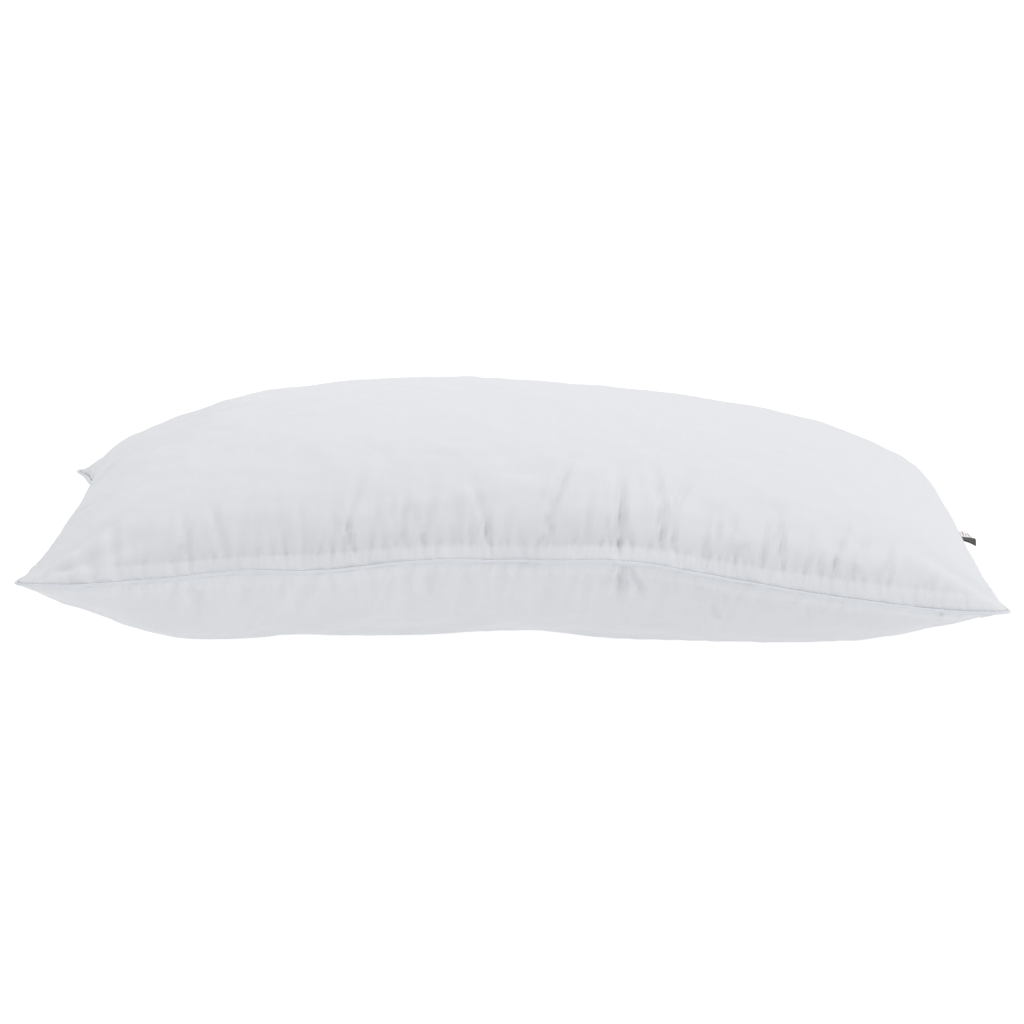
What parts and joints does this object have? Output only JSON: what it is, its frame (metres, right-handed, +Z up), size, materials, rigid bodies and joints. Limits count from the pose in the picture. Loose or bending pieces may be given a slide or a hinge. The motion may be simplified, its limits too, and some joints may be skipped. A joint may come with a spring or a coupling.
{
  "type": "bed pillow",
  "caption": "Plain white rectangular bed pillow: stuffed casing with a fine piped seam all round and small labels sewn into one short end.",
  "frame": {"origin": "middle of the pillow's outline in plan, on the surface that it lies on", "axes": "+X along the long sides towards the end with the labels, +Y towards the back long side, +Z up through the crown"},
  "size_m": [0.6818, 0.4868, 0.1552],
  "materials": {
    "white_ticking": "plain white cotton percale, matt",
    "white_satin_tape": "white bias tape with a slight sheen",
    "cotton_cord": "twisted white cotton cord",
    "polyester_thread": "white polyester sewing thread",
    "polyester_fibre": "loose white hollow fibre",
    "black_woven_tape": "black woven tape, matt",
    "white_printed_tape": "white printed satin tape with a pinkish cast"
  },
  "bodies": {
    "root": {"top_panel": "white_ticking", "bottom_panel": "white_ticking", "piping_tape": "white_satin_tape", "piping_cord": "cotton_cord", "seam_needle_thread": "polyester_thread", "seam_bobbin_thread": "polyester_thread", "overlock_thread": "polyester_thread", "closing_thread": "polyester_thread", "fibre_fill": "polyester_fibre", "side_label": "black_woven_tape", "care_label": "white_printed_tape"}
  },
  "joints": []
}
